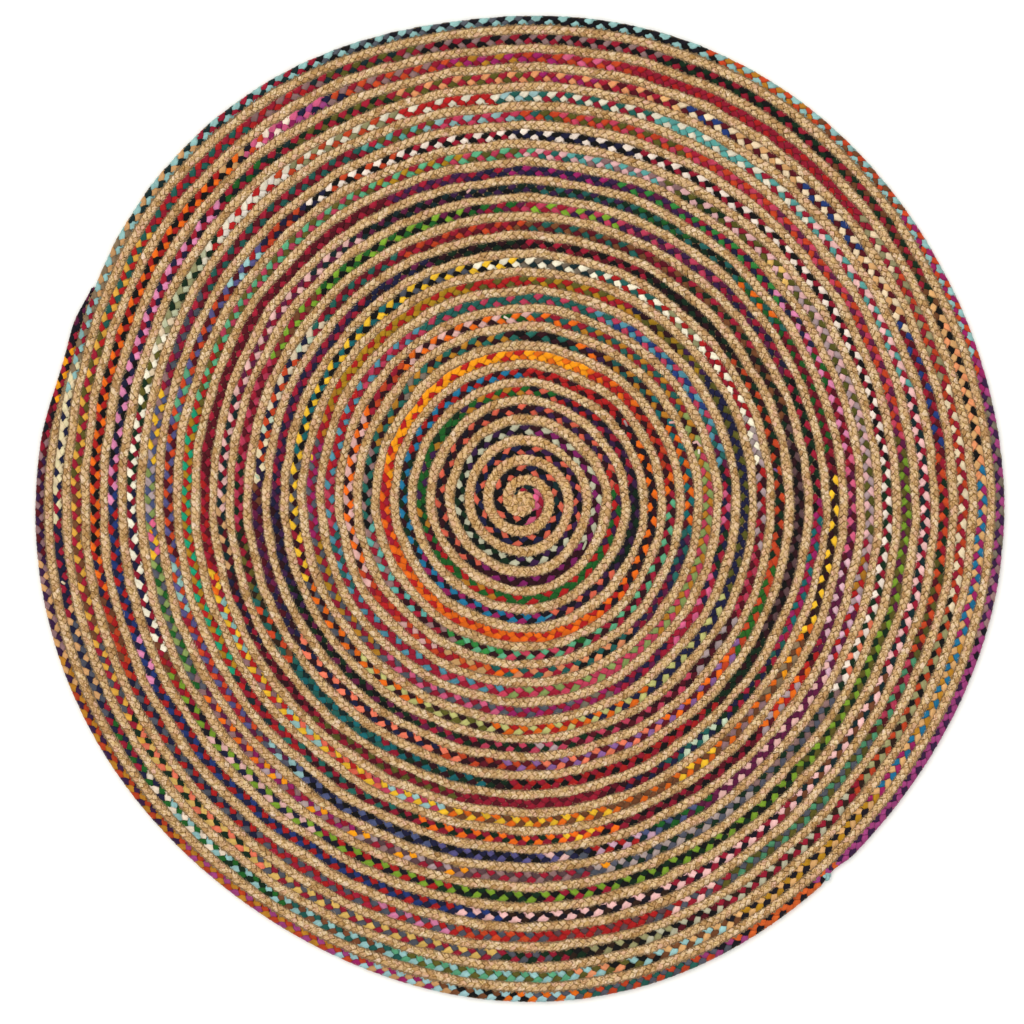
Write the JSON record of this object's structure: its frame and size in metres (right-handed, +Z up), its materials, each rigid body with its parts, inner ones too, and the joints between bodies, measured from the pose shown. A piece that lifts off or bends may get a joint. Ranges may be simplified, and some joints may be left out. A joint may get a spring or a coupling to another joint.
{
  "type": "round braided jute rug",
  "caption": "Round flat floor rug: a jute plait and a multicolour cotton rag plait wound side by side in a spiral and sewn edge to edge.",
  "frame": {"origin": "on the floor, below the middle of the rug's bounding box", "axes": "+Z up out of the rug's face, +Y towards the top of the picture, +X to its right"},
  "size_m": [1.4906, 1.517, 0.0097],
  "materials": {
    "jute_yarn": "coarse matt natural fibre",
    "cotton_rag": "matt woven cotton strips in many colours"
  },
  "bodies": {
    "root": {"jute_braid": "jute_yarn", "rag_braid": "cotton_rag", "rag_braid_rim": "cotton_rag"}
  },
  "joints": []
}
